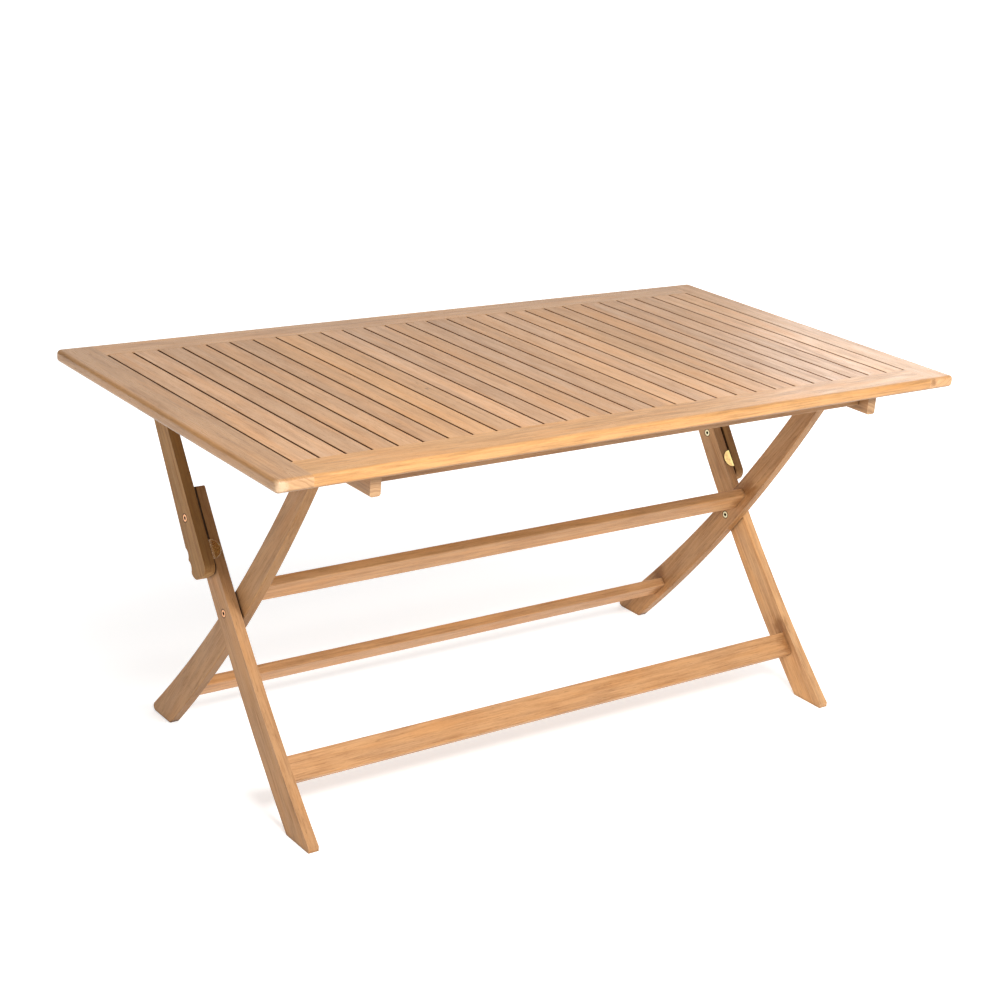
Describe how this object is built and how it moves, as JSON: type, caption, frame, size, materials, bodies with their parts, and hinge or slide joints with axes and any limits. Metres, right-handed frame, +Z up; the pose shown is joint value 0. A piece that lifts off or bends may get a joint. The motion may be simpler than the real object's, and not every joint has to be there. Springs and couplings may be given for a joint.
{
  "type": "folding picnic table",
  "caption": "Folding hardwood garden table: rectangular slatted top in a rounded frame, on crossed pairs of curved legs held open by two braces with metal stop discs.",
  "frame": {"origin": "on the ground, centred under the table top", "axes": "+X along the top to the right, +Y to the back, +Z up; drawn open and ready for use"},
  "size_m": [1.6, 0.826, 0.753],
  "materials": {
    "frame_wood": "oiled, smooth, rounded edges",
    "slat_wood": "oiled, smooth",
    "under_wood": "oiled",
    "leg_wood": "oiled, smooth, eased edges",
    "stretcher_wood": "oiled, smooth",
    "yellow_zinc": "yellow zinc plated, satin",
    "zinc": "zinc plated, satin"
  },
  "bodies": {
    "top": {"end_rail_left": "frame_wood", "end_rail_right": "frame_wood", "side_rail_front": "frame_wood", "side_rail_back": "frame_wood", "slat_01": "slat_wood", "slat_02": "slat_wood", "slat_03": "slat_wood", "slat_04": "slat_wood", "slat_05": "slat_wood", "slat_06": "slat_wood", "slat_07": "slat_wood", "slat_08": "slat_wood", "slat_09": "slat_wood", "slat_10": "slat_wood", "slat_11": "slat_wood", "slat_12": "slat_wood", "slat_13": "slat_wood", "slat_14": "slat_wood", "slat_15": "slat_wood", "slat_16": "slat_wood", "slat_17": "slat_wood", "slat_18": "slat_wood", "slat_19": "slat_wood", "slat_20": "slat_wood", "slat_21": "slat_wood", "slat_22": "slat_wood", "slat_23": "slat_wood", "slat_24": "slat_wood", "slat_25": "slat_wood", "slat_26": "slat_wood", "slat_27": "slat_wood", "slat_28": "slat_wood", "batten_left": "under_wood", "batten_right": "under_wood", "under_rail_front": "under_wood", "under_rail_back": "under_wood", "hanger_left": "under_wood", "hanger_right": "under_wood", "frame_pivot_bolts": "yellow_zinc", "frame_pivot_nuts": "zinc", "frame_pivot_washers": "zinc", "frame_screws": "zinc"},
    "inner_frame": {"inner_leg_left": "leg_wood", "inner_leg_right": "leg_wood", "upper_stretcher": "stretcher_wood", "back_stretcher": "stretcher_wood"},
    "outer_frame": {"outer_leg_left": "leg_wood", "outer_leg_right": "leg_wood", "front_stretcher": "stretcher_wood", "leg_pivot_bolts": "yellow_zinc", "leg_pivot_nuts": "zinc", "leg_pivot_washers": "zinc"},
    "left_arm": {"arm_left": "leg_wood", "stop_disc_left": "yellow_zinc", "arm_bolt_left": "yellow_zinc"},
    "right_arm": {"arm_right": "leg_wood", "stop_disc_right": "yellow_zinc", "arm_bolt_right": "yellow_zinc"}
  },
  "joints": [
    {"name": "fold", "type": "hinge", "parent": "top", "child": "inner_frame", "pos_m": [0, -0.248, 0.708], "axis": [1, 0, 0], "range_deg": [0, 49]},
    {"name": "leg_crossing", "type": "hinge", "parent": "inner_frame", "child": "outer_frame", "pos_m": [0, 0.003, 0.3385], "axis": [1, 0, 0], "range_deg": [0, 70.5]},
    {"name": "left_arm_pivot", "type": "hinge", "parent": "top", "child": "left_arm", "pos_m": [-0.66675, 0.268, 0.708], "axis": [1, 0, 0], "range_deg": [-47.9, 0]},
    {"name": "right_arm_pivot", "type": "hinge", "parent": "top", "child": "right_arm", "pos_m": [0.66675, 0.268, 0.708], "axis": [1, 0, 0], "range_deg": [-47.9, 0]}
  ],
  "couplings": [
    {"joint": "leg_crossing", "follows": "fold", "ratio": 1.4362},
    {"joint": "left_arm_pivot", "follows": "fold", "ratio": -0.9749},
    {"joint": "right_arm_pivot", "follows": "fold", "ratio": -0.9749}
  ]
}
